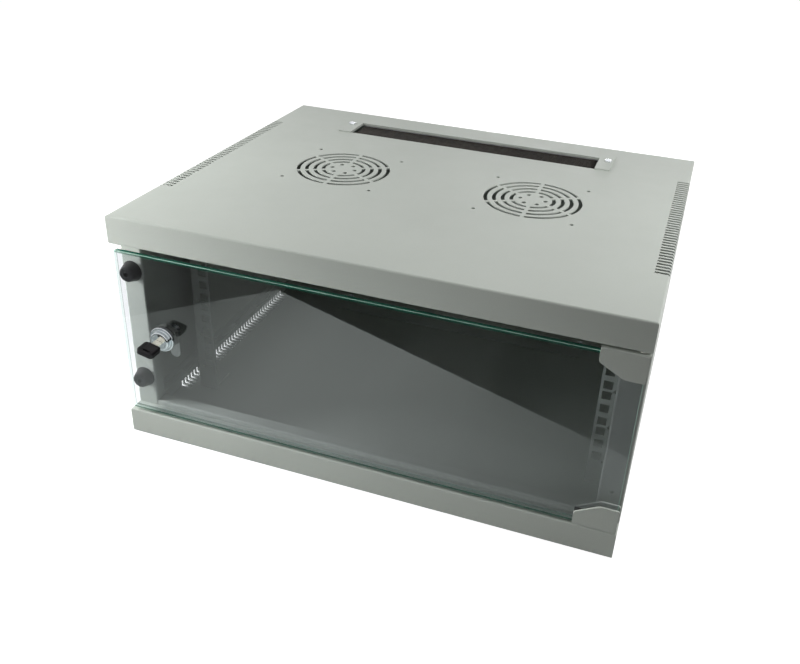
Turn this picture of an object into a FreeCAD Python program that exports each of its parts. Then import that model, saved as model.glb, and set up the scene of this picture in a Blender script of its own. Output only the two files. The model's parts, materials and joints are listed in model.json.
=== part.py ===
"""Wall mount network cabinet, 19-inch, four rack units high, with a frameless glass door.

Two pressed trays, top and bottom, carry a front frame, two rear posts and a rear panel.
The side panels push on, the glass door turns on two pivot pins and shuts with a cam lock.

Frame of the model, in millimetres: +X to the right seen from the front, +Y from the door
to the wall, +Z up. The origin is the centre of the four wall fixing holes, on the back plane.
"""
import FreeCAD
import Part
import math
import os

V = FreeCAD.Vector

# ---- overall sizes -------------------------------------------------------------------
width = 540.0                 # outside, side to side
depth = 450.0                 # front lip to back plane
height = 262.0                # outside of the bottom tray to outside of the top tray

# ---- sheet metal ---------------------------------------------------------------------
sheet = 1.5                   # trays, posts and cross rails
bend = 2.2                    # outside bend radius of that sheet
panel_sheet = 1.2             # side panels
rear_sheet = 2.0              # rear panel
rear_corner = 1.0
rail_sheet = 2.0              # 19-inch rails
seat_gap = 0.3                # between pieces that come apart

# ---- trays ---------------------------------------------------------------------------
lip_height = 30.5
front_flange = 30.0           # return flange behind the front lip
side_flange = 16.5
rear_flange = 12.0
vent_count = 40               # slots along each side
vent_pitch = 6.68
vent_width = 3.4
vent_run = 14.0               # reach inboard from the side
vent_rise = 8.0               # reach up the lip, round the bend
vent_start = 97.0             # first slot behind the front
flange_slot_count = 3
flange_slot_length = 37.0
flange_slot_width = 4.8
flange_slot_pitch = 89.5
flange_slot_start = 89.0
flange_slot_inset = 11.8      # centre from the side, just inboard of the panel's turned edge

# ---- fan grilles ---------------------------------------------------------------------
fan_offset = 112.0            # centre of each grille from the middle
fan_centre = 229.5            # behind the front
fan_spacing = 105.0           # hole square of a 120 mm fan
fan_hole_radius = 2.25
grille_radius = 54.0          # outside of the outer ring
ring_count = 4
ring_pitch = 9.5
ring_slot = 4.3
spoke_count = 6
spoke_width = 4.0
spoke_start_angle = 30.0
eye_radius = 2.7              # small round holes inside the inner ring
eye_circle = 14.0

# ---- cable entries -------------------------------------------------------------------
entry_half_length = 158.25
entry_reach = 88.0            # front edge in front of the back plane
entry_width = 40.5
entry_ear = 18.0              # brush plate beyond each end of the entry
entry_back_strip = 13.0
entry_screw_offset = 170.0
entry_screw_back = 9.5        # screw centre in front of the entry's rear edge
plate_sheet = 1.5
plate_corner = 1.5
bristle_thickness = 3.0
bristle_gap = 0.7             # tips to the front edge
holder_depth = 9.0
holder_wall = 1.2
screw_radius = 2.0            # M4
screw_head_radius = 4.2
screw_head_height = 2.4
screw_head_round = 1.44
screw_clearance = 0.25
screw_length = 8.0
blanking_margin = 6.0         # plate beyond the entry, front and rear
blanking_corner = 3.0
blanking_screw_gap = 0.1      # screw ends above the underside

# ---- front frame ---------------------------------------------------------------------
frame_setback = 16.8          # face of the frame behind the front
post_width = 25.0
post_return = 14.2            # inner return of a post, and return of sill and header
rail_band = 6.5               # face height of sill and header
landing_step = 4.5            # face to the step that the side panel butts against
landing_depth = 19.5          # flat landing behind the side panel's edge
cam_window_level = 135.0      # centre of the window for the lock's cam, above the bottom
cam_window_height = 46.0

# ---- side panels ---------------------------------------------------------------------
panel_return = 9.0
panel_bend = 1.8
finger_level = 162.5          # centre of the finger notch above the bottom
finger_height = 23.0
finger_depth = 11.0
stud_radius = 2.5
stud_length = 8.5
stud_bevel = 0.8
stud_inset = 8.0              # stud centre from the landing step
stud_levels = (60.0, 200.0)
grommet_wall = 1.3
grommet_flange = 6.2
grommet_flange_thickness = 1.2

# ---- rear panel and earth stud --------------------------------------------------------
wall_spacing_x = 450.0
wall_spacing_z = 150.0
wall_hole_radius = 4.5
earth_radius = 3.0            # M6
earth_length = 16.0
earth_across_flats = 10.0
earth_nut_height = 5.0
earth_place = (236.0, 60.0)   # beside the middle, in front of the back plane
earth_collar = 2.5            # collar beyond the thread
earth_collar_height = 1.2
earth_neck_radius = 2.65      # where the nut sits, drawn at the thread's pitch radius
earth_neck_free = 0.4         # neck above the nut

# ---- 19-inch rails ---------------------------------------------------------------------
rack_units = 4
unit = 44.45
unit_pitch = (15.875, 15.875, 12.7)
rack_opening = 450.0          # clear width between the rails
rack_hole_spacing = 465.1
rack_square = 9.5
rack_start = 31.95            # underside of the first unit above the tray's outside
rail_face = 24.0
rail_setback = 105.0
rail_web = 38.0
rail_bend = 3.0
rail_foot = 20.0
rail_foot_front = 8.0         # foot behind the rail's face
tie_hole_radius = 2.2
tie_hole_offset = 241.0

# ---- glass door ------------------------------------------------------------------------
glass = 5.0
glass_left_gap = 4.5
glass_right_gap = 3.0
glass_bottom_gap = 3.5
glass_top_gap = 6.0
glass_corner = 1.5
bumper_base = 11.5            # radii
bumper_tip = 8.0
bumper_hole = 2.4
bumper_hole_depth = 5.0
bumper_side = 12.0            # centre from the side
bumper_levels = (66.0, 196.0)
bumper_hole_in_post = 1.6     # in both posts, because the door can be hung either way

# ---- door hinges -----------------------------------------------------------------------
pivot_side = 7.0              # pin axis from the side
pivot_setback = 6.0           # pin axis behind the front
pin_radius = 2.0
pin_bevel = 0.5
pin_fit = 0.05                # running clearance, radial
pin_reach = 3.5               # out of the bracket, through the tray's flange
press_gap = 0.01              # round a pressed-in pin
thread_gap = 0.05             # between a thread's two simple cylinders
bracket_sheet = 2.0
bracket_width = 42.0
bracket_height = 28.6
bracket_shoulder = 15.4       # height of its free edge
bracket_apex = 18.5           # the slope ends this far from the hinge side
bracket_side_gap = 1.2        # to the side of the cabinet
bracket_corner = 2.0
bracket_foot_corner = 0.6
bracket_lip_gap = 1.2         # to the tray's lip
gasket = 1.0
washer_radius = 4.6
washer_play = 0.05
clamp_screw_radius = 2.5
clamp_screw_length = 3.0
clamp_screw_inset = 11.0
clamp_slot = 0.8

# ---- cam lock ----------------------------------------------------------------------------
lock_side = 52.0              # axis from the left side
lock_level = 132.0            # axis above the bottom
lock_nose_radius = 10.5
lock_nose = 6.5               # in front of the glass
nose_edge = 1.0
lock_collar_radius = 14.0
lock_collar = 2.0
lock_barrel_radius = 9.0
lock_barrel_end = 20.0        # behind the front
lock_hole_clearance = 0.5
plug_radius = 6.2
plug_fit = 0.05
plug_face_radius = 7.4
plug_face = 0.8
nut_across_flats = 25.0
nut_thickness = 4.5
nut_washer = 1.5
cam_thickness = 2.0
cam_width = 12.0
cam_reach = 33.0
cam_gap = 0.3
cam_square = 7.0
cam_screw_radius = 2.0
cam_screw_head = 4.4
cam_screw_head_height = 2.2
cam_screw_depth = 6.0

# ---- key -----------------------------------------------------------------------------------
key_turn = 12.0               # degrees that the key leans, left edge up
blade_thickness = 2.2
blade_width = 7.4
blade_inside = 22.0
blade_outside = 10.5
blade_clearance = 0.25
bow_length = 18.5
bow_width = 19.0
bow_thickness = 6.4
bow_start = 9.0               # in front of the lock's face
bow_corner = 4.0
bow_edge = 1.2
bow_cover = 0.15              # blade to the pocket that holds it

# ---- places in the model's frame -------------------------------------------------------
half = width / 2
front = -depth
bottom = -wall_spacing_z / 2 - (height - wall_spacing_z) / 2
top = bottom + height
frame_face = front + frame_setback
deck_bottom = bottom + lip_height          # top of the bottom tray's flange
deck_top = top - lip_height
rear_face = -rear_sheet                    # rear posts' outer face


# ---- shape helpers ---------------------------------------------------------------------
def block(x0, x1, y0, y1, z0, z1):
    """Box between two corners, in any order."""
    low = V(min(x0, x1), min(y0, y1), min(z0, z1))
    return Part.makeBox(abs(x1 - x0), abs(y1 - y0), abs(z1 - z0), low)


def rod(radius, length, base, axis):
    return Part.makeCylinder(radius, length, base, axis)


def joined(shapes):
    """One solid from pieces of one part."""
    shapes = list(shapes)
    return shapes[0].fuse(shapes[1:]).removeSplitter() if len(shapes) > 1 else shapes[0]


def rounded_run(points, radii):
    """Edges of an open run of straight lines whose inner corners are rounded by radii."""
    edges = []
    start = points[0]
    for corner, following, radius in zip(points[1:-1], points[2:], radii):
        back = (start - corner).normalize()
        ahead = (following - corner).normalize()
        if radius > 0:
            half_angle = back.getAngle(ahead) / 2
            reach = radius / math.tan(half_angle)
            enter = corner + back * reach
            leave = corner + ahead * reach
            middle_way = (back + ahead).normalize()
            centre = corner + middle_way * (radius / math.sin(half_angle))
            edges.append(Part.makeLine(start, enter))
            edges.append(Part.Arc(enter, centre - middle_way * radius, leave).toShape())
            start = leave
        else:
            edges.append(Part.makeLine(start, corner))
            start = corner
    edges.append(Part.makeLine(start, points[-1]))
    return edges


def strip_face(points, thickness, radii, normal):
    """Section of a bent sheet: the run of points is its outer face, and the sheet lies on
    the side that normal x direction points to. Each bend keeps one centre for both faces."""
    ways = [(b - a).normalize() for a, b in zip(points, points[1:])]
    sides = [normal.cross(way).normalize() for way in ways]
    inner = [points[0] + sides[0] * thickness]
    inner_radii = []
    for i in range(1, len(points) - 1):
        mean = sides[i - 1] + sides[i]
        inner.append(points[i] + mean * (2 * thickness / mean.dot(mean)))
        turns_in = sides[i - 1].dot(ways[i]) > 0
        change = -thickness if turns_in else thickness
        inner_radii.append(max(radii[i - 1] + change, 0) if radii[i - 1] > 0 else 0)
    inner.append(points[-1] + sides[-1] * thickness)
    outer_edges = rounded_run(points, radii)
    inner_edges = rounded_run(inner[::-1], inner_radii[::-1])
    closing = [Part.makeLine(points[-1], inner[-1]), Part.makeLine(inner[0], points[0])]
    wire = Part.Wire(Part.__sortEdges__(outer_edges + inner_edges + closing))
    return Part.Face(wire)


def plate(outline, radii, thickness_vector):
    """Flat plate from a closed outline with rounded corners; radii follow the corners."""
    count = len(outline)
    middle = (outline[-1] + outline[0]) * 0.5
    points = [middle] + list(outline) + [middle]
    edges = rounded_run(points, radii[:count])
    return Part.Face(Part.Wire(Part.__sortEdges__(edges))).extrude(thickness_vector)


def mirror_x(shape):
    return shape.mirror(V(0, 0, 0), V(1, 0, 0))


def mirror_z(shape):
    return shape.mirror(V(0, 0, (top + bottom) / 2), V(0, 0, 1))


def hexagon(across_flats, base, axis_vector):
    """Hexagonal prism along +Y or +Z, standing at base."""
    radius = across_flats / math.sqrt(3)
    corners = []
    for i in range(6):
        angle = math.radians(60 * i + 30)
        if abs(axis_vector.y) > 0:
            corners.append(base + V(radius * math.cos(angle), 0, radius * math.sin(angle)))
        else:
            corners.append(base + V(radius * math.cos(angle), radius * math.sin(angle), 0))
    wire = Part.makePolygon(corners + corners[:1])
    return Part.Face(wire).extrude(axis_vector)


# ---- trays -----------------------------------------------------------------------------
def tray_pan():
    """Bottom tray without its openings: a floor, four lips and their return flanges."""
    body = block(-half, half, front, 0, bottom, deck_bottom)
    lengthwise = [e for e in body.Edges if not is_upright(e)]
    body = body.makeFillet(bend, lengthwise)
    hollow = block(-half + sheet, half - sheet, front + sheet, -sheet,
                   bottom + sheet, deck_bottom - sheet)
    lengthwise = [e for e in hollow.Edges if not is_upright(e)]
    hollow = hollow.makeFillet(bend - sheet, lengthwise)
    mouth = block(-half + side_flange, half - side_flange, front + front_flange,
                  -rear_flange, deck_bottom - 2 * sheet, deck_bottom + sheet)
    return body.cut([hollow, mouth])


def is_upright(edge):
    box = edge.BoundBox
    return box.ZLength > max(box.XLength, box.YLength)


def vent_slots():
    """Slots along both sides that run from the floor round the bend and up the lip."""
    slots = []
    for i in range(vent_count):
        y = front + vent_start + i * vent_pitch
        for side in (-1, 1):
            slots.append(block(side * (half - vent_run), side * (half + sheet),
                               y, y + vent_width, bottom - sheet, bottom + vent_rise))
    return slots


def flange_slots():
    """Long slots in the side flanges, beside the turned edge of the side panel."""
    slots = []
    radius = flange_slot_width / 2
    low = deck_bottom - 2 * sheet
    for i in range(flange_slot_count):
        y0 = front + flange_slot_start + i * flange_slot_pitch
        y1 = y0 + flange_slot_length
        for side in (-1, 1):
            x = side * (half - flange_slot_inset)
            run = block(x - radius, x + radius, y0 + radius, y1 - radius, low, deck_bottom + sheet)
            ends = [rod(radius, 3 * sheet, V(x, y, low), V(0, 0, 1))
                    for y in (y0 + radius, y1 - radius)]
            slots.append(joined([run] + ends))
    return slots


def cable_entry(z0, z1):
    y0 = -entry_reach
    return block(-entry_half_length, entry_half_length, y0, y0 + entry_width, z0, z1)


def entry_screw_places():
    y = entry_rear() - entry_screw_back
    return [(-entry_screw_offset, y), (entry_screw_offset, y)]


def tray():
    """Bottom tray with what both trays share: vents, fixing slots, cable entry, hinge hole."""
    low = bottom - sheet
    high = bottom + 2 * sheet
    tools = vent_slots() + flange_slots() + [cable_entry(low, high)]
    for x, y in entry_screw_places():
        tools.append(rod(screw_radius + screw_clearance, high - low, V(x, y, low), V(0, 0, 1)))
    pivot = V(half - pivot_side, front + pivot_setback, deck_bottom - 2 * sheet)
    tools.append(rod(pin_radius + pin_fit, 3 * sheet, pivot, V(0, 0, 1)))
    return tray_pan().cut(tools)


def ring_slot_solid(outer_radius, base, rise):
    outer = rod(outer_radius, rise, base, V(0, 0, 1))
    return outer.cut(rod(outer_radius - ring_slot, rise, base, V(0, 0, 1)))


def fan_grille(centre_x):
    """Cutting tools of one fan grille: rings split by spokes, eyes and four fan holes."""
    low = top - 2 * sheet
    rise = 3 * sheet
    base = V(centre_x, front + fan_centre, low)
    rings = [ring_slot_solid(grille_radius - i * ring_pitch, base, rise)
             for i in range(ring_count)]
    spokes = []
    for i in range(spoke_count // 2):
        bar = block(centre_x - grille_radius - sheet, centre_x + grille_radius + sheet,
                    base.y - spoke_width / 2, base.y + spoke_width / 2, low, low + rise)
        bar.rotate(base, V(0, 0, 1), spoke_start_angle + i * 360 / spoke_count)
        spokes.append(bar)
    tools = [ring.cut(spokes) for ring in rings]
    for i in range(spoke_count):
        angle = math.radians(i * 360 / spoke_count)
        place = base + V(eye_circle * math.cos(angle), eye_circle * math.sin(angle), 0)
        tools.append(rod(eye_radius, rise, place, V(0, 0, 1)))
    for sx in (-1, 1):
        for sy in (-1, 1):
            place = base + V(sx * fan_spacing / 2, sy * fan_spacing / 2, 0)
            tools.append(rod(fan_hole_radius, rise, place, V(0, 0, 1)))
    return tools


def bottom_tray():
    return tray()


def top_tray():
    """The same pressing turned over, with the two fan grilles punched in it."""
    return mirror_z(tray()).cut(fan_grille(-fan_offset) + fan_grille(fan_offset))


# ---- frame -----------------------------------------------------------------------------
def post(face_y, inward):
    """Left post: inner return, face, and a stepped landing for the side panel's edge.
    inward is +1 at the front, where the sheet runs back from the face, and -1 at the rear."""
    step = face_y + inward * landing_step
    run = [V(-half + post_width, face_y + inward * post_return, deck_bottom),
           V(-half + post_width, face_y, deck_bottom),
           V(-half, face_y, deck_bottom),
           V(-half, step, deck_bottom),
           V(-half + panel_sheet + seat_gap, step, deck_bottom),
           V(-half + panel_sheet + seat_gap, step + inward * landing_depth, deck_bottom)]
    normal = V(0, 0, -inward)
    face = strip_face(run, sheet, [bend, bend, 0, 0], normal)
    solid = face.extrude(V(0, 0, deck_top - deck_bottom))
    holes = []
    for level in stud_levels:
        y = step + inward * stud_inset
        holes.append(rod(stud_radius + seat_gap + grommet_wall, 3 * sheet + panel_sheet,
                         V(-half - sheet, y, bottom + level), V(1, 0, 0)))
    return solid.cut(holes)


def finger_notch(y0, y1):
    z0 = bottom + finger_level - finger_height / 2
    return block(-half - sheet, -half + panel_return, y0, y1, z0, z0 + finger_height)


def front_post_left():
    """Front post with the window that lets the lock's cam pass behind its face."""
    z0 = bottom + cam_window_level - cam_window_height / 2
    window = block(-half + post_width - 2 * sheet, -half + post_width + sheet,
                   frame_face + bend, frame_face + post_return + sheet,
                   z0, z0 + cam_window_height)
    step = frame_face + landing_step
    tools = [window, finger_notch(step + sheet, step + finger_depth)]
    for level in bumper_levels:
        place = V(-half + bumper_side, frame_face - sheet, bottom + level)
        tools.append(rod(bumper_hole_in_post, 3 * sheet, place, V(0, 1, 0)))
    return post(frame_face, 1).cut(tools)


def front_post_right():
    """Mirror of the left post: the door can be hung from either side."""
    return mirror_x(front_post_left())


def rear_post_left():
    return post(rear_face, -1)


def front_sill():
    """Angle between the front posts, standing on the bottom tray's flange."""
    x0 = -half + post_width
    run = [V(x0, frame_face, deck_bottom),
           V(x0, frame_face, deck_bottom + rail_band),
           V(x0, frame_face + post_return, deck_bottom + rail_band)]
    face = strip_face(run, sheet, [bend], V(-1, 0, 0))
    return face.extrude(V(width - 2 * post_width, 0, 0))


def front_header():
    return mirror_z(front_sill())


def rear_panel():
    """Flat panel between the rear lips, with the four wall fixing holes."""
    z0 = deck_bottom + seat_gap
    z1 = deck_top - seat_gap
    outline = [V(-half, 0, z0), V(half, 0, z0), V(half, 0, z1), V(-half, 0, z1)]
    panel = plate(outline, [rear_corner] * 4, V(0, -rear_sheet, 0))
    holes = []
    for sx in (-1, 1):
        for sz in (-1, 1):
            place = V(sx * wall_spacing_x / 2, sheet, sz * wall_spacing_z / 2)
            holes.append(rod(wall_hole_radius, rear_sheet + 2 * sheet, place, V(0, -1, 0)))
    return panel.cut(holes)


# ---- side panels -----------------------------------------------------------------------
def side_panel_ends():
    """Front and rear edges of a side panel."""
    y0 = frame_face + landing_step + seat_gap
    y1 = rear_face - landing_step - seat_gap
    return y0, y1


def side_panel_left():
    """Sheet with its upper and lower edges turned in, and a finger notch in its front edge."""
    y0, y1 = side_panel_ends()
    z0 = deck_bottom + seat_gap
    z1 = deck_top - seat_gap
    skin = block(-half, -half + panel_sheet, y0, y1, z0 + panel_bend, z1 - panel_bend)
    turn0 = y0 + landing_depth
    turn1 = y1 - landing_depth
    run = [V(-half + panel_return, turn0, z0), V(-half, turn0, z0),
           V(-half, turn0, z1), V(-half + panel_return, turn0, z1)]
    face = strip_face(run, panel_sheet, [panel_bend, panel_bend], V(0, 1, 0))
    turned = face.extrude(V(0, turn1 - turn0, 0))
    notch = finger_notch(y0 - sheet, frame_face + landing_step + finger_depth)
    return joined([skin, turned]).cut(notch)


def stud_places():
    """Centres of the four studs of the left panel, on its inner face."""
    x = -half + panel_sheet
    places = []
    for y in (frame_face + landing_step + stud_inset, rear_face - landing_step - stud_inset):
        for level in stud_levels:
            places.append(V(x, y, bottom + level))
    return places


def panel_studs_left():
    """Push-in studs with a bevelled tip, welded to the side panel."""
    studs = []
    for place in stud_places():
        studs.append(rod(stud_radius, stud_length - stud_bevel, place, V(1, 0, 0)))
        tip = place + V(stud_length - stud_bevel, 0, 0)
        cone = Part.makeCone(stud_radius, stud_radius - stud_bevel, stud_bevel, tip, V(1, 0, 0))
        studs[-1] = joined([studs[-1], cone])
    return Part.makeCompound(studs)


def panel_grommets_left():
    """Nylon grommets in the landings that grip the studs."""
    rings = []
    bore = stud_radius + seat_gap
    sleeve_radius = bore + grommet_wall - pin_fit
    for place in stud_places():
        base = place + V(seat_gap, 0, 0)
        sleeve = rod(sleeve_radius, sheet + grommet_flange_thickness, base, V(1, 0, 0))
        flange = rod(grommet_flange, grommet_flange_thickness, base + V(sheet, 0, 0), V(1, 0, 0))
        hole = rod(bore, 3 * sheet, base - V(sheet / 2, 0, 0), V(1, 0, 0))
        rings.append(joined([sleeve, flange]).cut(hole))
    return Part.makeCompound(rings)


# ---- 19-inch rails ---------------------------------------------------------------------
def rack_hole_levels():
    """Heights of the square holes, three to each rack unit."""
    levels = []
    for i in range(rack_units):
        z = bottom + rack_start + i * unit + unit_pitch[2] / 2
        levels += [z, z + unit_pitch[0], z + unit_pitch[0] + unit_pitch[1]]
    return levels


def rail_left():
    """Angle with square holes on the front leg and a foot on the floor and the ceiling."""
    y = front + rail_setback
    inner = -rack_opening / 2
    outer = inner - rail_face
    z0 = bottom + sheet
    z1 = top - sheet
    run = [V(inner, y, z0), V(outer, y, z0), V(outer, y + rail_web, z0)]
    angle = strip_face(run, rail_sheet, [rail_bend], V(0, 0, -1)).extrude(V(0, 0, z1 - z0))
    y0 = y + rail_foot_front
    y1 = y + rail_web
    feet = [block(outer, outer + rail_foot, y0, y1, z0, z0 + rail_sheet),
            block(outer, outer + rail_foot, y0, y1, z1 - rail_sheet, z1)]
    holes = []
    for level in rack_hole_levels():
        holes.append(block(-rack_hole_spacing / 2 - rack_square / 2,
                           -rack_hole_spacing / 2 + rack_square / 2,
                           y - rail_sheet, y + 2 * rail_sheet,
                           level - rack_square / 2, level + rack_square / 2))
    for i in range(rack_units + 1):
        place = V(-tie_hole_offset, y - rail_sheet, bottom + rack_start + i * unit)
        holes.append(rod(tie_hole_radius, 3 * rail_sheet, place, V(0, 1, 0)))
    return joined([angle] + feet).cut(holes)


# ---- door ------------------------------------------------------------------------------
def lock_axis(y):
    """Point on the lock's axis, y behind the front."""
    return V(-half + lock_side, front + y, bottom + lock_level)


def door_glass():
    """Sheet of toughened glass with ground corners and one hole for the lock."""
    x0 = -half + glass_left_gap
    x1 = half - glass_right_gap
    z0 = deck_bottom + glass_bottom_gap
    z1 = deck_top - glass_top_gap
    outline = [V(x0, front, z0), V(x1, front, z0), V(x1, front, z1), V(x0, front, z1)]
    sheet_of_glass = plate(outline, [glass_corner] * 4, V(0, glass, 0))
    hole = rod(lock_barrel_radius + lock_hole_clearance, 3 * glass, lock_axis(-glass), V(0, 1, 0))
    return sheet_of_glass.cut(hole)


def bumper(level):
    """Rubber buffer on the left post: a cone with a small hole in its tip."""
    length = frame_setback - glass - seat_gap
    base = V(-half + bumper_side, frame_face, bottom + level)
    cone = Part.makeCone(bumper_base, bumper_tip, length, base, V(0, -1, 0))
    tip = base - V(0, length + seat_gap, 0)
    hole = rod(bumper_hole, bumper_hole_depth + seat_gap, tip, V(0, 1, 0))
    return cone.cut(hole)


# ---- door hinges -----------------------------------------------------------------------
def bracket_outline(y):
    """Outline of the lower bracket's cheeks, from its hinge-side foot."""
    x1 = half - bracket_side_gap
    x0 = x1 - bracket_width
    z0 = deck_bottom + bracket_lip_gap
    return [V(x1, y, z0), V(x0, y, z0), V(x0, y, z0 + bracket_shoulder),
            V(x1 - bracket_apex, y, z0 + bracket_height), V(x1, y, z0 + bracket_height)]


def bracket_back():
    """Rear face of the bracket's rear cheek."""
    return front + glass + gasket + bracket_sheet


def hinge_bracket_bottom():
    """Clip that wraps the glass door's corner: front cheek, web and rear cheek."""
    radii = [bracket_foot_corner, bracket_foot_corner, bracket_corner, bracket_corner, bracket_corner]
    outer = front - bracket_sheet
    cheek = plate(bracket_outline(outer), radii, V(0, bracket_sheet, 0))
    rear = plate(bracket_outline(front + glass + gasket), radii, V(0, bracket_sheet, 0))
    x1 = half - bracket_side_gap
    z0 = deck_bottom + bracket_lip_gap
    web = block(x1 - bracket_width, x1, outer, bracket_back(), z0, z0 + bracket_sheet)
    pivot = V(half - pivot_side, front + pivot_setback, z0 - sheet)
    tools = [rod(pin_radius + press_gap, 3 * bracket_sheet, pivot, V(0, 0, 1))]
    for place in clamp_places(front + glass):
        tools.append(rod(clamp_screw_radius, 4 * bracket_sheet, place, V(0, 1, 0)))
    return joined([cheek, rear, web]).cut(tools)


def clamp_places(y):
    """The two clamp screws of the lower bracket."""
    x1 = half - bracket_side_gap
    z = deck_bottom + bracket_lip_gap + bracket_shoulder / 2 + bracket_sheet
    return [V(x1 - clamp_screw_inset, y, z),
            V(x1 - bracket_width + clamp_screw_inset, y, z)]


def clamp_screws_bottom():
    """Slotted grub screws that press the gasket on the glass from behind."""
    screws = []
    for place in clamp_places(front + glass + gasket):
        grub = rod(clamp_screw_radius, clamp_screw_length, place, V(0, 1, 0))
        slot = block(place.x - clamp_screw_radius, place.x + clamp_screw_radius,
                     place.y + clamp_screw_length - 1, place.y + clamp_screw_length + 1,
                     place.z - clamp_slot / 2, place.z + clamp_slot / 2)
        screws.append(grub.cut(slot))
    return Part.makeCompound(screws)


def hinge_gasket_bottom():
    """Rubber pad between the glass and the rear cheek, level with the glass's lower edge."""
    y = front + glass
    x1 = half - glass_right_gap
    x0 = half - bracket_side_gap - bracket_width
    z0 = deck_bottom + glass_bottom_gap
    z1 = deck_bottom + bracket_lip_gap + bracket_shoulder
    return block(x0, x1, y, y + gasket, z0, z1)


def hinge_pin_bottom():
    """Pivot pin with a bevelled end, pressed into the bracket's web and turning in the tray."""
    z = deck_bottom + bracket_lip_gap + bracket_sheet
    length = bracket_sheet + pin_reach - pin_bevel
    base = V(half - pivot_side, front + pivot_setback, z)
    shank = rod(pin_radius, length, base, V(0, 0, -1))
    tip = Part.makeCone(pin_radius, pin_radius - pin_bevel, pin_bevel, base - V(0, 0, length), V(0, 0, -1))
    return joined([shank, tip])


def hinge_washer_bottom():
    """Nylon washer that carries the door on the tray's flange."""
    place = V(half - pivot_side, front + pivot_setback, deck_bottom)
    thick = bracket_lip_gap - washer_play
    ring = rod(washer_radius, thick, place, V(0, 0, 1))
    return ring.cut(rod(pin_radius + pin_fit, thick, place, V(0, 0, 1)))


# ---- cam lock --------------------------------------------------------------------------
def lock_housing():
    """Turned body: nose, collar on the glass and threaded barrel, bored for the plug."""
    radii = [(0, -lock_nose), (lock_nose_radius - nose_edge, -lock_nose),
             (lock_nose_radius, -lock_nose + nose_edge), (lock_nose_radius, -lock_collar),
             (lock_collar_radius - nose_edge, -lock_collar),
             (lock_collar_radius, -lock_collar + nose_edge), (lock_collar_radius, 0),
             (lock_barrel_radius, 0), (lock_barrel_radius, lock_barrel_end),
             (0, lock_barrel_end)]
    axis = lock_axis(0)
    points = [axis + V(r, y, 0) for r, y in radii]
    face = Part.Face(Part.makePolygon(points + points[:1]))
    body = face.revolve(axis, V(0, 1, 0), 360)
    start = lock_axis(-lock_nose)
    bore = rod(plug_radius + plug_fit, lock_nose + lock_barrel_end, start, V(0, 1, 0))
    recess = rod(plug_face_radius + plug_fit, plug_face, start, V(0, 1, 0))
    return body.cut([bore, recess])


def lock_washer():
    """Spring washer behind the glass."""
    ring = rod(lock_collar_radius - 1, nut_washer, lock_axis(glass), V(0, 1, 0))
    return ring.cut(rod(lock_barrel_radius + screw_clearance, nut_washer,
                        lock_axis(glass), V(0, 1, 0)))


def lock_nut():
    """Hexagonal nut that clamps the housing on the glass."""
    base = lock_axis(glass + nut_washer)
    nut = hexagon(nut_across_flats, base, V(0, nut_thickness, 0))
    return nut.cut(rod(lock_barrel_radius + thread_gap, nut_thickness, base, V(0, 1, 0)))


def turned_key(shape):
    """Turn a piece of the key or the keyway about the lock's axis by the key's lean."""
    turned = shape.copy()
    turned.rotate(lock_axis(0), V(0, 1, 0), key_turn)
    return turned


def blade_box(clearance, y0, y1):
    axis = lock_axis(0)
    half_width = blade_width / 2 + clearance
    half_thick = blade_thickness / 2 + clearance
    return block(axis.x - half_width, axis.x + half_width, front + y0, front + y1,
                 axis.z - half_thick, axis.z + half_thick)


def lock_plug():
    """Plug with its keyway, a square end for the cam and a tapped hole for the cam screw."""
    start = lock_axis(-lock_nose)
    face = rod(plug_face_radius, plug_face, start, V(0, 1, 0))
    core = rod(plug_radius, lock_nose + lock_barrel_end + cam_gap, start, V(0, 1, 0))
    end = front + lock_barrel_end + cam_gap
    axis = lock_axis(0)
    side = cam_square / 2
    square = block(axis.x - side, axis.x + side, end, end + cam_thickness,
                   axis.z - side, axis.z + side)
    keyway = blade_box(blade_clearance, -lock_nose - sheet, blade_inside - lock_nose + sheet)
    depth_of_tap = cam_screw_depth - cam_thickness
    tap = rod(cam_screw_radius + thread_gap, depth_of_tap + 2 * cam_thickness,
              lock_axis(lock_barrel_end + cam_gap - depth_of_tap), V(0, 1, 0))
    return joined([face, core, square]).cut([turned_key(keyway), tap])


def lock_cam():
    """Zinc cam on the plug's square: a bar with a round end, hanging down when unlocked."""
    y = lock_barrel_end + cam_gap
    base = lock_axis(y)
    radius = cam_width / 2
    disc = rod(radius + 2, cam_thickness, base, V(0, 1, 0))
    bar = block(base.x - radius, base.x + radius, base.y, base.y + cam_thickness,
                base.z - cam_reach + radius, base.z)
    tip = rod(radius, cam_thickness, base - V(0, 0, cam_reach - radius), V(0, 1, 0))
    side = cam_square / 2
    hole = block(base.x - side, base.x + side, base.y - 1, base.y + cam_thickness + 1,
                 base.z - side, base.z + side)
    return joined([disc, bar, tip]).cut(hole)


def cam_screw():
    """Screw that holds the cam on the plug."""
    base = lock_axis(lock_barrel_end + cam_gap + cam_thickness)
    head = rod(cam_screw_head, cam_screw_head_height, base, V(0, 1, 0))
    shank = rod(cam_screw_radius, cam_screw_depth, base, V(0, -1, 0))
    return joined([head, shank])


# ---- key -------------------------------------------------------------------------------
def key_blade():
    """Flat blade with a bevelled tip, from inside the plug to inside the bow."""
    y0 = -lock_nose - bow_start - blade_outside / 2
    y1 = blade_inside - lock_nose
    blade = blade_box(0, y0, y1)
    tip_edges = [e for e in blade.Edges
                 if abs(e.BoundBox.YMin - (front + y1)) < 0.01
                 and e.BoundBox.ZLength > 1 and e.BoundBox.YLength < 0.01]
    return turned_key(blade.makeChamfer(blade_width / 4, tip_edges))


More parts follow.
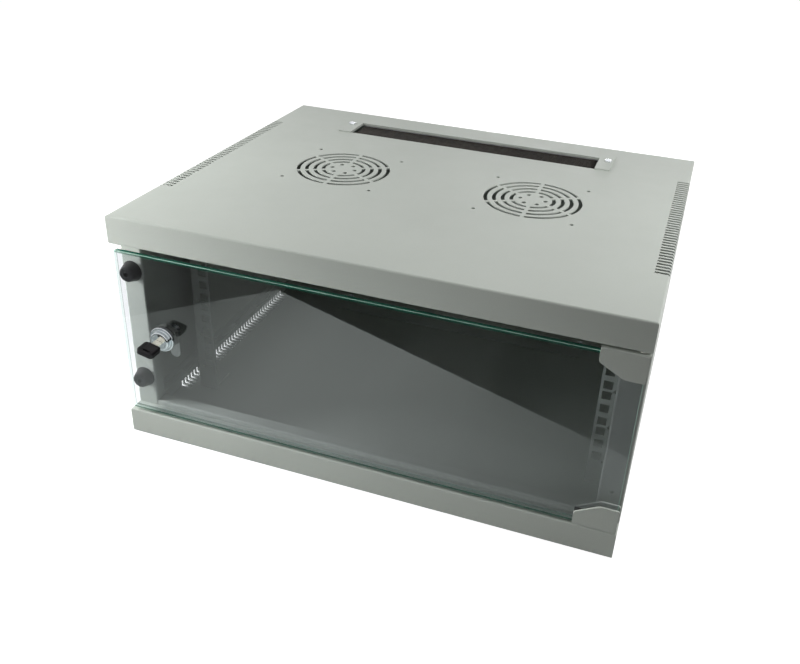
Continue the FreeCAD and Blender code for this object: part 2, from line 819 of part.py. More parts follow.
def key_bow():
    """Black plastic bow, a rounded slab with a pocket for the blade."""
    axis = lock_axis(-lock_nose - bow_start)
    x0 = axis.x - bow_width / 2
    x1 = axis.x + bow_width / 2
    y1 = axis.y
    y0 = axis.y - bow_length
    z0 = axis.z - bow_thickness / 2
    outline = [V(x0, y0, z0), V(x1, y0, z0), V(x1, y1, z0), V(x0, y1, z0)]
    slab = plate(outline, [bow_corner] * 4, V(0, 0, bow_thickness))
    rims = [e for e in slab.Edges if e.BoundBox.ZLength < 0.01]
    slab = slab.makeChamfer(bow_edge, rims)
    pocket = blade_box(bow_cover, -lock_nose - bow_start - blade_outside / 2 - bow_cover,
                       -lock_nose)
    return turned_key(slab.cut(pocket))


# ---- cable entries -----------------------------------------------------------------------
def pan_screw(x, y, z, up):
    """Pan head screw with its head on the plane z; up is +1 or -1."""
    way = V(0, 0, up)
    head = rod(screw_head_radius, screw_head_height, V(x, y, z), way)
    rim = [e for e in head.Edges if abs(e.BoundBox.ZMin - (z + up * screw_head_height)) < 0.01
           and e.BoundBox.ZLength < 0.01]
    head = head.makeFillet(screw_head_round, rim)
    shank = rod(screw_radius, screw_length, V(x, y, z), V(0, 0, -up))
    return joined([head, shank])


def entry_rear():
    return -entry_reach + entry_width


def brush_plate():
    """U-shaped cover on the top tray: an ear at each end and a strip behind the entry."""
    x1 = entry_half_length + entry_ear
    y0 = -entry_reach - plate_sheet
    y1 = entry_rear() + entry_back_strip
    outline = [V(-x1, y0, top), V(x1, y0, top), V(x1, y1, top), V(-x1, y1, top)]
    cover = plate(outline, [plate_corner] * 4, V(0, 0, plate_sheet))
    gap = block(-entry_half_length, entry_half_length, y0 - sheet, entry_rear(),
                top - sheet, top + 2 * plate_sheet)
    tools = [gap]
    for x, y in entry_screw_places():
        tools.append(rod(screw_radius + screw_clearance, 3 * plate_sheet,
                         V(x, y, top - sheet), V(0, 0, 1)))
    return cover.cut(tools)


def brush_holder():
    """Channel under the top tray that grips the bristles' roots."""
    y0 = entry_rear()
    z1 = top - sheet
    z0 = z1 - bristle_thickness - 2 * holder_wall
    x = entry_half_length
    run = [V(-x, y0, z1), V(-x, y0 + holder_depth, z1),
           V(-x, y0 + holder_depth, z0), V(-x, y0, z0)]
    face = strip_face(run, holder_wall, [holder_wall] * 2, V(-1, 0, 0))
    return face.extrude(V(2 * x, 0, 0))


def brush_bristles():
    """The bristles as one block, from the holder to just short of the entry's front edge."""
    y0 = -entry_reach + bristle_gap
    y1 = entry_rear() + holder_depth - holder_wall
    z1 = top - sheet - holder_wall
    return block(-entry_half_length + bristle_gap, entry_half_length - bristle_gap,
                 y0, y1, z1 - bristle_thickness, z1)


def cable_blanking_plate():
    """Flat plate that closes the bottom tray's cable entry from inside."""
    x1 = entry_half_length + entry_ear
    y0 = -entry_reach - blanking_margin
    y1 = entry_rear() + blanking_margin
    z = bottom + sheet
    outline = [V(-x1, y0, z), V(x1, y0, z), V(x1, y1, z), V(-x1, y1, z)]
    cover = plate(outline, [blanking_corner] * 4, V(0, 0, plate_sheet))
    holes = [rod(screw_radius + screw_clearance, 3 * plate_sheet, V(x, y, z - sheet), V(0, 0, 1))
             for x, y in entry_screw_places()]
    return cover.cut(holes)


def brush_screws():
    return Part.makeCompound([pan_screw(x, y, top + plate_sheet, 1)
                              for x, y in entry_screw_places()])


def blanking_screws():
    """Short screws into the tray, their ends level with its underside."""
    screws = []
    for x, y in entry_screw_places():
        z = bottom + sheet + plate_sheet
        full = pan_screw(x, y, z, 1)
        below = block(x - screw_length, x + screw_length, y - screw_length, y + screw_length,
                      bottom + blanking_screw_gap, bottom - screw_length)
        screws.append(full.cut(below))
    return Part.makeCompound(screws)


# ---- earth stud --------------------------------------------------------------------------
def earth_base():
    return V(earth_place[0], -earth_place[1], bottom + sheet)


def earth_stud():
    """Welded earthing stud on the bottom tray's floor: a collar, a neck and the thread."""
    up = V(0, 0, 1)
    neck_length = earth_collar_height + earth_nut_height + earth_neck_free
    collar = rod(earth_radius + earth_collar, earth_collar_height, earth_base(), up)
    neck = rod(earth_neck_radius, neck_length, earth_base(), up)
    thread = rod(earth_radius, earth_length - neck_length, earth_base() + up * neck_length, up)
    return joined([collar, neck, thread])


def earth_nut():
    base = earth_base() + V(0, 0, earth_collar_height)
    nut = hexagon(earth_across_flats, base, V(0, 0, earth_nut_height))
    bore = rod(earth_neck_radius + thread_gap, earth_nut_height, base, V(0, 0, 1))
    return nut.cut(bore)


# ---- the assembly --------------------------------------------------------------------------
def assembly():
    pieces = {
        "bottom_tray": bottom_tray(),
        "top_tray": top_tray(),
        "front_post_left": front_post_left(),
        "front_post_right": front_post_right(),
        "front_sill": front_sill(),
        "front_header": front_header(),
        "rear_panel": rear_panel(),
        "door_glass": door_glass(),
        "lock_housing": lock_housing(),
        "lock_washer": lock_washer(),
        "lock_nut": lock_nut(),
        "lock_plug": lock_plug(),
        "lock_cam": lock_cam(),
        "cam_screw": cam_screw(),
        "key_blade": key_blade(),
        "key_bow": key_bow(),
        "brush_plate": brush_plate(),
        "brush_holder": brush_holder(),
        "brush_bristles": brush_bristles(),
        "brush_screws": brush_screws(),
        "cable_blanking_plate": cable_blanking_plate(),
        "blanking_screws": blanking_screws(),
        "earth_stud": earth_stud(),
        "earth_nut": earth_nut(),
        "bumper_lower": bumper(bumper_levels[0]),
        "bumper_upper": bumper(bumper_levels[1]),
    }
    left_and_right = {
        "rear_post": rear_post_left(),
        "side_panel": side_panel_left(),
        "panel_studs": panel_studs_left(),
        "panel_grommets": panel_grommets_left(),
        "rail": rail_left(),
    }
    for name, shape in left_and_right.items():
        pieces[name + "_left"] = shape
        pieces[name + "_right"] = mirror_x(shape)
    bottom_and_top = {
        "hinge_bracket": hinge_bracket_bottom(),
        "hinge_clamp_screws": clamp_screws_bottom(),
        "hinge_pin": hinge_pin_bottom(),
        "hinge_washer": hinge_washer_bottom(),
    }
    for name, shape in bottom_and_top.items():
        pieces[name + "_bottom"] = shape
        pieces[name + "_top"] = mirror_z(shape)
    pieces["hinge_gasket_bottom"] = hinge_gasket_bottom()
    pieces["hinge_gasket_top"] = mirror_z(hinge_gasket_bottom())
    return pieces


def main():
    os.makedirs("parts", exist_ok=True)
    for name, shape in assembly().items():
        box = shape.BoundBox
        print(f"{name:24s} solids {len(shape.Solids)} valid {shape.isValid()} "
              f"volume {shape.Volume:10.1f} "
              f"x {box.XMin:.1f}..{box.XMax:.1f} y {box.YMin:.1f}..{box.YMax:.1f} "
              f"z {box.ZMin:.1f}..{box.ZMax:.1f}")
        shape.exportStep(f"parts/{name}.step")


main()
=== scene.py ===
# %% [markdown]
# # A wall mount network cabinet, made ready for its portrait
#
# The cabinet itself arrives finished: every sheet metal part, screw and pin is a solid
# with its final size, and we may not move or reshape any of them. Our work is what a
# drawing leaves out. We give each part a finish, show a few plain solids as shapes with
# more life in them, such as the glass pane, the brush and the key's head, and build a
# small studio round it: a floor, lamps and a camera.
#
# Everything is in metres. X runs to the right seen from the front, Y from the door to
# the wall, and Z upwards.

# %% Load the finished solids
import json
import math
import bpy
import numpy as np
from mathutils import Matrix, Vector


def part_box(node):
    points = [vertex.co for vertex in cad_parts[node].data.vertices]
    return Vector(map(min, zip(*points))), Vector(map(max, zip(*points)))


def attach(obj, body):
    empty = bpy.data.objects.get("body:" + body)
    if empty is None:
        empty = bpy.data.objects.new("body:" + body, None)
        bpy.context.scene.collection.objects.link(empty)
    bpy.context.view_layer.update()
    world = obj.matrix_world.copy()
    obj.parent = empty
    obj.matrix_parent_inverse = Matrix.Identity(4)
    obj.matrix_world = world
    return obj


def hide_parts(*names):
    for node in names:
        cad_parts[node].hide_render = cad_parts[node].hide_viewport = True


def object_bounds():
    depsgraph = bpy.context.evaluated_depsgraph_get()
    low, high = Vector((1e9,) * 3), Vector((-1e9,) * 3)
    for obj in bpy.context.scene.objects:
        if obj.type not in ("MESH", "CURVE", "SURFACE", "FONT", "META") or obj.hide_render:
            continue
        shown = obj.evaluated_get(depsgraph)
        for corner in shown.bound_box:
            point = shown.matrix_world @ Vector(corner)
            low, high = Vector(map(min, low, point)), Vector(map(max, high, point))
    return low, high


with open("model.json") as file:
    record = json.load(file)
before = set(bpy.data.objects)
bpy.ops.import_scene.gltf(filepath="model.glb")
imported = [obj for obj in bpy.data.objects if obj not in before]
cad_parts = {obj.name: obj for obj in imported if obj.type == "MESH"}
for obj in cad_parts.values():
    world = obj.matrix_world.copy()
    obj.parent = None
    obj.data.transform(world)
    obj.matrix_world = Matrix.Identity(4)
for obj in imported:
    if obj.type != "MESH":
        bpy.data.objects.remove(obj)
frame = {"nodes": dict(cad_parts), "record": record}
frame_box = [list(corner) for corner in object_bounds()]
nodes = frame["nodes"]
print("box in millimetres:", [[round(1000 * v, 1) for v in corner] for corner in frame_box])

# %% [markdown]
# ## Colours and the light level
#
# A powder coated grey can come out almost any grey, depending on how the lamps are set.
# So we fix the level first: the lamps and the sky together light the top of the cabinet
# about as strongly as an even white sky of strength 1 would. At that level a colour
# renders as it is written. The Standard view transform leaves it alone after that,
# where Blender's usual one would bend it.

# %% Show colours as they are written
bpy.context.scene.view_settings.view_transform = "Standard"
print("view transform:", bpy.context.scene.view_settings.view_transform)

# %% [markdown]
# ## The camera
#
# The camera stands a little over a metre from the middle of the cabinet, in line with
# its right-hand end and above it, and looks down and to the left. We could turn it with
# angles, but angles in three dimensions are easy to mix up. Three arrows say the same
# thing plainly: which way is right in the picture, which way is up, and which way it looks.
# They fill the columns of a matrix. The small shift moves the picture without turning
# the camera, so upright edges keep their lean.

# %% Place the camera
camera_at = Vector((0.27333, -1.11342, 0.47664))
looks_along = Vector((-0.2716, 0.8329, -0.4822)).normalized()
picture_right = looks_along.cross(Vector((-0.1951, 0.4429, 0.8751))).normalized()
picture_up = picture_right.cross(looks_along)

camera_data = bpy.data.cameras.new("portrait_camera")
camera_data.sensor_width = 36.0
camera_data.lens = 39.374
camera_data.shift_x = -0.0173
camera_data.shift_y = -0.0228
camera_data.clip_start = 0.01
camera_data.clip_end = 100.0
camera = bpy.data.objects.new("portrait_camera", camera_data)
turned = Matrix((picture_right, picture_up, -looks_along)).transposed().to_4x4()
camera.matrix_world = Matrix.Translation(camera_at) @ turned
bpy.context.scene.collection.objects.link(camera)
bpy.context.scene.camera = camera
print("camera", [round(v, 3) for v in camera_at], "lens", camera_data.lens, "mm")

# %% [markdown]
# ## Small tools for meshes
#
# Every new piece below is worked out as arrays: rows of points that follow a formula,
# joined into four-sided faces. One helper joins such rows. They can close on themselves
# in either direction, which is how a tube or a ring is made without a gap. A second
# helper tells whether the faces of a closed shape point inwards. A third makes the mesh,
# gives its faces their finishes and shades it smooth, except across sharp edges.

# %% Mesh helpers
def grid_faces(rows, columns, close_rows=False, close_columns=False, first=0):
    """Faces of a grid of points stored row by row. Face (r, c) joins point (r, c) with
    its neighbours in the next row and column; closing wraps the last back to the first."""
    r = np.arange(rows if close_rows else rows - 1)
    c = np.arange(columns if close_columns else columns - 1)
    r, c = (a.ravel() for a in np.meshgrid(r, c, indexing="ij"))
    below, beside = (r + 1) % rows, (c + 1) % columns
    corners = [r * columns + c, r * columns + beside, below * columns + beside,
               below * columns + c]
    return np.stack(corners, axis=1) + first


def inside_out(points, faces):
    """True if a closed shape's faces point inwards. Each face, split into triangles with
    corners a, b and c, adds a . (b x c) / 6, and the sum is the volume, with its sign."""
    volume = 0.0
    for part in faces:
        for k in range(1, part.shape[1] - 1):
            a, b, c = points[part[:, 0]], points[part[:, k]], points[part[:, k + 1]]
            volume += np.einsum("ij,ij->", a, np.cross(b, c)) / 6.0
    return volume < 0.0


def make_piece(name, points, faces, finishes, which=None, sharp=35.0):
    """A mesh object at the origin from an (n, 3) array and a list of face arrays.
    which gives each face its place in the list of finishes. Faces are shaded smooth,
    except across edges that turn by more than sharp degrees."""
    points = np.asarray(points, dtype=float)
    if inside_out(points, faces):
        faces = [part[:, ::-1] for part in faces]
    mesh = bpy.data.meshes.new(name)
    mesh.from_pydata(points.tolist(), [], [f for part in faces for f in part.tolist()])
    for finish in finishes:
        mesh.materials.append(finish)
    if which is not None:
        mesh.polygons.foreach_set("material_index", np.asarray(which, dtype=np.int32))
    mesh.polygons.foreach_set("use_smooth", np.full(len(mesh.polygons), True))
    mesh.set_sharp_from_angle(angle=math.radians(sharp))
    mesh.update()
    piece = bpy.data.objects.new(name, mesh)
    bpy.context.scene.collection.objects.link(piece)
    print(name, "has", len(mesh.vertices), "points and", len(mesh.polygons), "faces")
    return piece


# %% [markdown]
# ## Small tools for finishes
#
# A finish is a little network of nodes. Most of ours have the same skeleton: noise that
# reads the piece's own coordinates in metres, a ramp that turns it into a colour or a
# roughness, and a bump that turns fine noise into a surface you can almost feel. Object
# coordinates stay with the piece when it moves, so the pattern does too. These helpers
# keep each finish short enough to read.

# %% Node helpers
def new_finish(name):
    """A material with its Principled shader, ready for more nodes."""
    finish = bpy.data.materials.new(name)
    finish.use_nodes = True
    return finish, finish.node_tree.nodes["Principled BSDF"]


def add_node(finish, kind, **settings):
    """A node of that kind; settings are its properties or the values of its inputs."""
    node = finish.node_tree.nodes.new("ShaderNode" + kind)
    for key, value in settings.items():
        if hasattr(node, key):
            setattr(node, key, value)
        else:
            node.inputs[key.replace("_", " ")].default_value = value
    return node


def wire(finish, source, target):
    """Links an output to an input."""
    finish.node_tree.links.new(source, target)


def speckle(finish, size, detail=2.0, stretch=(1.0, 1.0, 1.0)):
    """Noise between 0 and 1 whose blotches are about size metres across; stretch above 1
    makes them shorter along that axis, below 1 longer."""
    where = add_node(finish, "TexCoord")
    scale = add_node(finish, "Mapping", Scale=tuple(s / size for s in stretch))
    noise = add_node(finish, "TexNoise", Scale=1.0, Detail=detail)
    wire(finish, where.outputs["Object"], scale.inputs["Vector"])
    wire(finish, scale.outputs["Vector"], noise.inputs["Vector"])
    return noise.outputs["Fac"]


def between(finish, value, low, high, start=0.3, end=0.7):
    """value from start to end becomes low to high, as a number."""
    spread = add_node(finish, "MapRange", From_Min=start, From_Max=end, To_Min=low, To_Max=high)
    wire(finish, value, spread.inputs["Value"])
    return spread.outputs["Result"]


def two_tone(finish, value, first, second, start=0.3, end=0.7):
    """value from start to end fades from the first colour to the second."""
    ramp = add_node(finish, "ValToRGB")
    ramp.color_ramp.elements[0].position, ramp.color_ramp.elements[1].position = start, end
    ramp.color_ramp.elements[0].color = (*first, 1.0)
    ramp.color_ramp.elements[1].color = (*second, 1.0)
    wire(finish, value, ramp.inputs["Fac"])
    return ramp.outputs["Color"]


def roughen(finish, shader, value, depth, distance=0.001, edge=None):
    """Bumps the shader's surface by value; depth is how strong, distance how high. edge
    is the radius in metres by which sharp edges look broken."""
    bump = add_node(finish, "Bump", Strength=depth, Distance=distance)
    wire(finish, value, bump.inputs["Height"])
    if edge is not None:
        rounding = add_node(finish, "Bevel", samples=4, Radius=edge)
        wire(finish, rounding.outputs["Normal"], bump.inputs["Normal"])
    wire(finish, bump.outputs["Normal"], shader.inputs["Normal"])


# %% [markdown]
# ## Powder coat
#
# Nearly everything here is steel sheet with one light grey powder coat. Powder melts in
# the oven and never flows quite flat, so the coat has a fine orange peel about a
# millimetre across, and its gloss varies a little where it is thicker. It also rounds
# every cut edge a little, and those edges catch the light: a Bevel node bends the
# shading there without another face. The colour is a grey with a breath of green. A
# single grey would look like plastic; two close greys in wide soft clouds, and a very
# fine fleck, read as paint.

# %% Light grey powder coat
def powder_coat(name, pale, deep, gloss=(0.42, 0.52)):
    """Clouds between two greys, times a fleck, over an orange peel bump."""
    cloud_size, fleck_size, peel_size, gloss_size = 0.16, 0.0012, 0.0011, 0.02
    edge_radius = 0.0005
    finish, shader = new_finish(name)
    clouds = two_tone(finish, speckle(finish, cloud_size, 3.0), deep, pale)
    fleck = speckle(finish, fleck_size, 1.0)
    mixed = add_node(finish, "Mix", data_type="RGBA", blend_type="MULTIPLY")
    mixed.inputs["Factor"].default_value = 1.0
    wire(finish, clouds, mixed.inputs["A"])
    wire(finish, two_tone(finish, fleck, (0.965, 0.965, 0.965), (1.0, 1.0, 1.0)), mixed.inputs["B"])
    wire(finish, mixed.outputs["Result"], shader.inputs["Base Color"])
    wire(finish, between(finish, speckle(finish, gloss_size), *gloss), shader.inputs["Roughness"])
    roughen(finish, shader, speckle(finish, peel_size, 2.0), 0.10, 0.0002, edge=edge_radius)
    return finish


grey_paint = powder_coat("grey_powder_coat", (0.500, 0.535, 0.490), (0.470, 0.503, 0.461))
print("made", grey_paint.name)

# %% [markdown]
# ## Metals
#
# Five bare metals show: bright zinc on screws, pins and studs, satin zinc on the nut,
# washer, cam and screw at the back of the lock, chrome on its body and plug, nickel on
# the key's blade and aluminium on the brush's holder. The satin zinc is rougher, and its
# darker tone is painted shade for those parts behind the glass. A metal's colour is its
# reflection, so what sets them apart is how dark, how warm and how smooth they are, and
# in which direction their fine lines run.

# %% Zinc, chrome, nickel and aluminium
def bare_metal(name, first, second, smooth, rough, line_size, stretch, depth):
    """A metal with two tones, a roughness between smooth and rough, and fine lines."""
    finish, shader = new_finish(name)
    shader.inputs["Metallic"].default_value = 1.0
    lines = speckle(finish, line_size, 3.0, stretch)
    wire(finish, two_tone(finish, lines, first, second), shader.inputs["Base Color"])
    wire(finish, between(finish, lines, smooth, rough), shader.inputs["Roughness"])
    roughen(finish, shader, lines, depth, 0.0001)
    return finish


zinc = bare_metal("bright_zinc", (0.62, 0.65, 0.69), (0.78, 0.80, 0.82), 0.20, 0.34, 0.0015,
                  (1.0, 1.0, 1.0), 0.10)
# Satin zinc: rougher than the bright zinc, and darker as painted shade for the lock's parts behind
# the glass.
shaded_satin_zinc = bare_metal("shaded_satin_zinc", (0.30, 0.31, 0.29), (0.42, 0.43, 0.40), 0.46, 0.60, 0.0018,
                        (1.0, 1.0, 1.0), 0.14)
chrome = bare_metal("polished_chrome", (0.48, 0.52, 0.54), (0.62, 0.65, 0.67), 0.05, 0.11, 0.004,
                    (1.0, 1.0, 1.0), 0.02)
nickel = bare_metal("nickelled_brass", (0.90, 0.83, 0.68), (0.97, 0.92, 0.80), 0.12, 0.24, 0.0012,
                    (0.2, 1.0, 1.0), 0.08)
aluminium = bare_metal("drawn_aluminium", (0.58, 0.59, 0.60), (0.72, 0.73, 0.73), 0.28, 0.42,
                       0.0008, (0.05, 1.0, 1.0), 0.15)
print("made", [m.name for m in (zinc, shaded_satin_zinc, chrome, nickel, aluminium)])

# %% [markdown]
# ## Plastic, rubber, nylon and bristle
#
# The black parts are three different blacks. Moulded plastic has a tight sheen and a
# spark-eroded grain, rubber is softer and dustier, and nylon bristle is nearly black
# with a brown cast. White nylon is milky. The mirror of the black plastic is turned
# down by half, so that the key's head stays black under a white sky.

# %% Moulded finishes
def moulded(name, first, second, smooth, rough, grain, depth, cloud=0.012):
    """A plastic or rubber with two close tones, uneven sheen and a fine grain."""
    finish, shader = new_finish(name)
    wire(finish, two_tone(finish, speckle(finish, cloud, 3.0), first, second),
         shader.inputs["Base Color"])
    wire(finish, between(finish, speckle(finish, cloud / 3), smooth, rough),
         shader.inputs["Roughness"])
    roughen(finish, shader, speckle(finish, grain, 2.0), depth, 0.0001)
    return finish


black_plastic = moulded("black_moulded_plastic", (0.006, 0.006, 0.007), (0.012, 0.011, 0.012),
                        0.30, 0.42, 0.0004, 0.25)
plastic_shader = black_plastic.node_tree.nodes["Principled BSDF"]
plastic_shader.inputs["Specular IOR Level"].default_value = 0.25
black_rubber = moulded("black_rubber", (0.016, 0.016, 0.017), (0.034, 0.033, 0.034),
                       0.42, 0.60, 0.0006, 0.35)
nylon = moulded("white_nylon", (0.62, 0.61, 0.57), (0.70, 0.69, 0.65), 0.35, 0.50, 0.0006, 0.1)
bristle = moulded("dark_bristle", (0.016, 0.014, 0.012), (0.050, 0.043, 0.035),
                  0.40, 0.60, 0.0005, 0.2, cloud=0.009)
print("made", [m.name for m in (black_plastic, black_rubber, nylon, bristle)])

# %% [markdown]
# ## Glass
#
# Float glass looks clear through its faces and green through its edges, because light
# that travels along the sheet passes iron for half a metre. So the pane gets four
# finishes: clear faces, dark green edges, pale ground arrises between them, and a narrow
# border along the top and bottom of each face, painted with the green of the edge, as
# real glass shows it there by reflection inside the sheet.
#
# A Principled shader with full transmission would bend the light, and then lamps can't
# shine through it. A pane this thin hardly shifts what is behind it, so we mix two
# simple shaders instead. Transparent lets light straight through with a faint cool
# tint, and Glossy mirrors. Fresnel says how much is mirrored at each angle. Both sides
# of the sheet mirror, so we double it, on the side where light comes in, and switch it
# off where light leaves, or it would be counted again.

# %% Clear glass, green edge, ground arris and border
def clear_glass(name, tint):
    """One minus Backfacing, times twice the Fresnel share, is mirrored; the rest passes."""
    finish, principled = new_finish(name)
    finish.node_tree.nodes.remove(principled)
    mirrored = add_node(finish, "Fresnel", IOR=1.52)
    side = add_node(finish, "NewGeometry")
    entering = add_node(finish, "Math", operation="SUBTRACT")
    entering.inputs[0].default_value = 1.0
    wire(finish, side.outputs["Backfacing"], entering.inputs[1])
    share = add_node(finish, "Math", operation="MULTIPLY")
    wire(finish, mirrored.outputs[0], share.inputs[0])
    wire(finish, entering.outputs[0], share.inputs[1])
    both_sides = add_node(finish, "Math", operation="MULTIPLY", use_clamp=True)
    both_sides.inputs[1].default_value = 2.0
    wire(finish, share.outputs[0], both_sides.inputs[0])
    passing = add_node(finish, "BsdfTransparent", Color=(*tint, 1.0))
    mirror = add_node(finish, "BsdfGlossy", Color=(1.0, 1.0, 1.0, 1.0))
    wire(finish, between(finish, speckle(finish, 0.05), 0.0, 0.012), mirror.inputs["Roughness"])
    choice = add_node(finish, "MixShader")
    wire(finish, both_sides.outputs[0], choice.inputs[0])
    wire(finish, passing.outputs["BSDF"], choice.inputs[1])
    wire(finish, mirror.outputs["BSDF"], choice.inputs[2])
    wire(finish, choice.outputs["Shader"],
         finish.node_tree.nodes["Material Output"].inputs["Surface"])
    return finish


def seen_from_outside(finish, behind):
    """From inside the sheet an edge mirrors what lies beside it and can't be told from
    clear glass, so where its back shows, it lets light through, tinted by behind."""
    output = finish.node_tree.nodes["Material Output"]
    coloured = output.inputs["Surface"].links[0].from_socket
    side = add_node(finish, "NewGeometry")
    passing = add_node(finish, "BsdfTransparent", Color=(*behind, 1.0))
    choice = add_node(finish, "MixShader")
    wire(finish, side.outputs["Backfacing"], choice.inputs[0])
    wire(finish, coloured, choice.inputs[1])
    wire(finish, passing.outputs["BSDF"], choice.inputs[2])
    wire(finish, choice.outputs["Shader"], output.inputs["Surface"])
    return finish


def painted_edge_view_glass(name, tint, share):
    """The rim of the clear face, painted with the green edge as glass shows it there by
    inner reflection: share of it is green.
    """
    finish = moulded(name, tint, [1.6 * t for t in tint], 0.05, 0.10, 0.002, 0.02, cloud=0.05)
    output = finish.node_tree.nodes["Material Output"]
    passing = add_node(finish, "BsdfTransparent", Color=(0.80, 0.93, 0.88, 1.0))
    choice = add_node(finish, "MixShader")
    choice.inputs[0].default_value = share
    wire(finish, passing.outputs["BSDF"], choice.inputs[1])
    wire(finish, finish.node_tree.nodes["Principled BSDF"].outputs["BSDF"], choice.inputs[2])
    wire(finish, choice.outputs["Shader"], output.inputs["Surface"])
    return finish


pane_clear = clear_glass("clear_pane", (0.900, 0.910, 0.925))
pane_edge = seen_from_outside(
    moulded("green_glass_edge", (0.012, 0.120, 0.080), (0.026, 0.185, 0.128),
            0.08, 0.16, 0.002, 0.03, cloud=0.05), (0.86, 0.93, 0.91))
pane_arris = seen_from_outside(
    moulded("ground_arris", (0.30, 0.52, 0.43), (0.46, 0.68, 0.58),
            0.25, 0.40, 0.0008, 0.2, cloud=0.03), (0.60, 0.66, 0.65))
# Painted reflection: the border shows the green edge as glass mirrors it inside the sheet.
pane_painted_edge_view = painted_edge_view_glass("glass_rim_painted_edge_view", (0.008, 0.085, 0.058), 0.60)
print("made", [m.name for m in (pane_clear, pane_edge, pane_arris, pane_painted_edge_view)])

# %% [markdown]
# ## Give every solid its finish
#
# The record names a material slot for each solid. We look the finish up by that name,
# so a solid can't be forgotten: a slot without a finish stops the script. Four small
# parts of the lock sit behind the glass in a rougher zinc whose darker tone is painted shade.

# %% Dress the solids
# Painted shade: the four lock parts behind the glass get the darker zinc.
finish_of_node = {"lock_nut": shaded_satin_zinc, "lock_washer": shaded_satin_zinc, "lock_cam": shaded_satin_zinc,
                  "cam_screw": shaded_satin_zinc}
finish_of_slot = {
    "grey_paint": grey_paint, "zinc": zinc, "chrome": chrome, "nickel": nickel,
    "aluminium": aluminium, "black_plastic": black_plastic, "black_rubber": black_rubber,
    "nylon": nylon, "bristle": bristle, "clear_glass": pane_clear,
}
for part in frame["record"]["subparts"]:
    solid = nodes[part["node"]]
    for slot in solid.material_slots:
        slot.material = finish_of_node.get(part["node"], finish_of_slot[part["material_slot"]])

# %% [markdown]
# ## The pane
#
# The door is one sheet of glass with a hole for the lock. To show its ground edges it
# needs small bevels, and a pane with a hole is a ring: from any point on the hole's rim
# a straight line runs out to the edge of the sheet. So we go round the sheet once and,
# at each step, list ten points: the rim of the front face, bevel, edge, bevel, the rim
# of the back face, and much the same round the hole. Wrapped both ways, the grid closes
# into a solid with a hole. Each strip between two of those lines has its own finish.

# %% Build the pane
def rounded_outline(low, high, radius, inset, per_corner=8, per_side=24):
    """Points round a rectangle with round corners, moved in by inset. Sides are straight
    runs; each corner is a quarter circle about the same centre at radius minus inset."""
    arc = np.linspace(0.0, np.pi / 2, per_corner)
    centres = [(high[0] - radius, high[1] - radius), (low[0] + radius, high[1] - radius),
               (low[0] + radius, low[1] + radius), (high[0] - radius, low[1] + radius)]
    corners = []
    for turn, (cx, cz) in enumerate(centres):
        angle = arc + turn * np.pi / 2
        reach = radius - inset
        corners.append(np.stack([cx + reach * np.cos(angle), cz + reach * np.sin(angle)], axis=1))
    loop = []
    for corner, following in zip(corners, corners[1:] + corners[:1]):
        share = np.linspace(0.0, 1.0, per_side + 1)[1:, None]
        loop.append(corner)
        loop.append((corner[-1] + (following[0] - corner[-1]) * share)[:-1])
    return np.concatenate(loop)


def build_pane():
    """Ring by ring, points on the outline moved in by 0, arris or rim, then points on the
    hole's circle: middle + away * radius, with away the unit arrow towards the outline."""
    low, high = (np.array(corner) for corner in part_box("door_glass"))
    barrel_low, barrel_high = (np.array(corner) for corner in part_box("lock_housing"))
    middle = (barrel_low + barrel_high)[[0, 2]] / 2
    hole, arris, rim, corner = 0.0095, 0.0005, 0.0024, 0.0026
    outer, inner, border = (rounded_outline(low[[0, 2]], high[[0, 2]], corner, inset)
                            for inset in (0.0, arris, rim))
    away = outer - middle
    away /= np.linalg.norm(away, axis=1, keepdims=True)
    front, back = low[1], high[1]
    rings = [(border, front), (inner, front), (outer, front + arris), (outer, back - arris),
             (inner, back), (border, back), (middle + away * (hole + arris), back),
             (middle + away * hole, back - arris), (middle + away * hole, front + arris),
             (middle + away * (hole + arris), front)]
    rows = [np.stack([flat[:, 0], np.full(len(flat), y), flat[:, 1]], axis=1) for flat, y in rings]
    count = len(outer)
    faces = grid_faces(len(rings), count, close_rows=True, close_columns=True)
    half_height = (high[2] - low[2]) / 2 - rim
    level = np.abs(border[:, 1] - (low[2] + high[2]) / 2) > 0.999 * half_height
    clear, edge, ground, green = range(4)
    # The top and bottom rims of each face get the painted reflection of the green edge.
    rim_strip = np.where(level & np.roll(level, -1), green, clear)
    strips = [rim_strip] + [np.full(count, kind) for kind in (ground, edge, ground)]
    strips += [rim_strip] + [np.full(count, kind) for kind in (clear, ground, edge, ground, clear)]
    piece = make_piece("glass_pane", np.concatenate(rows), [faces],
                       [pane_clear, pane_edge, pane_arris, pane_painted_edge_view], np.concatenate(strips))
    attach(piece, "door")
    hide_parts("door_glass")


build_pane()

# %% [markdown]
# ## Turned pieces: the lock's body and the rubber buffers
#
# Anything made on a lathe is one outline spun about an axis. The solids already have the
# right outline, but with dead sharp corners, and a polished part shows every facet. So
# we draw the outline again with its corners eased, spin it in many steps and shade it
# smooth. The lock's body is bored through, so its outline closes on itself and never
# touches the axis. A buffer is solid: its outline starts and ends on the axis, where a
# single point closes the shape.

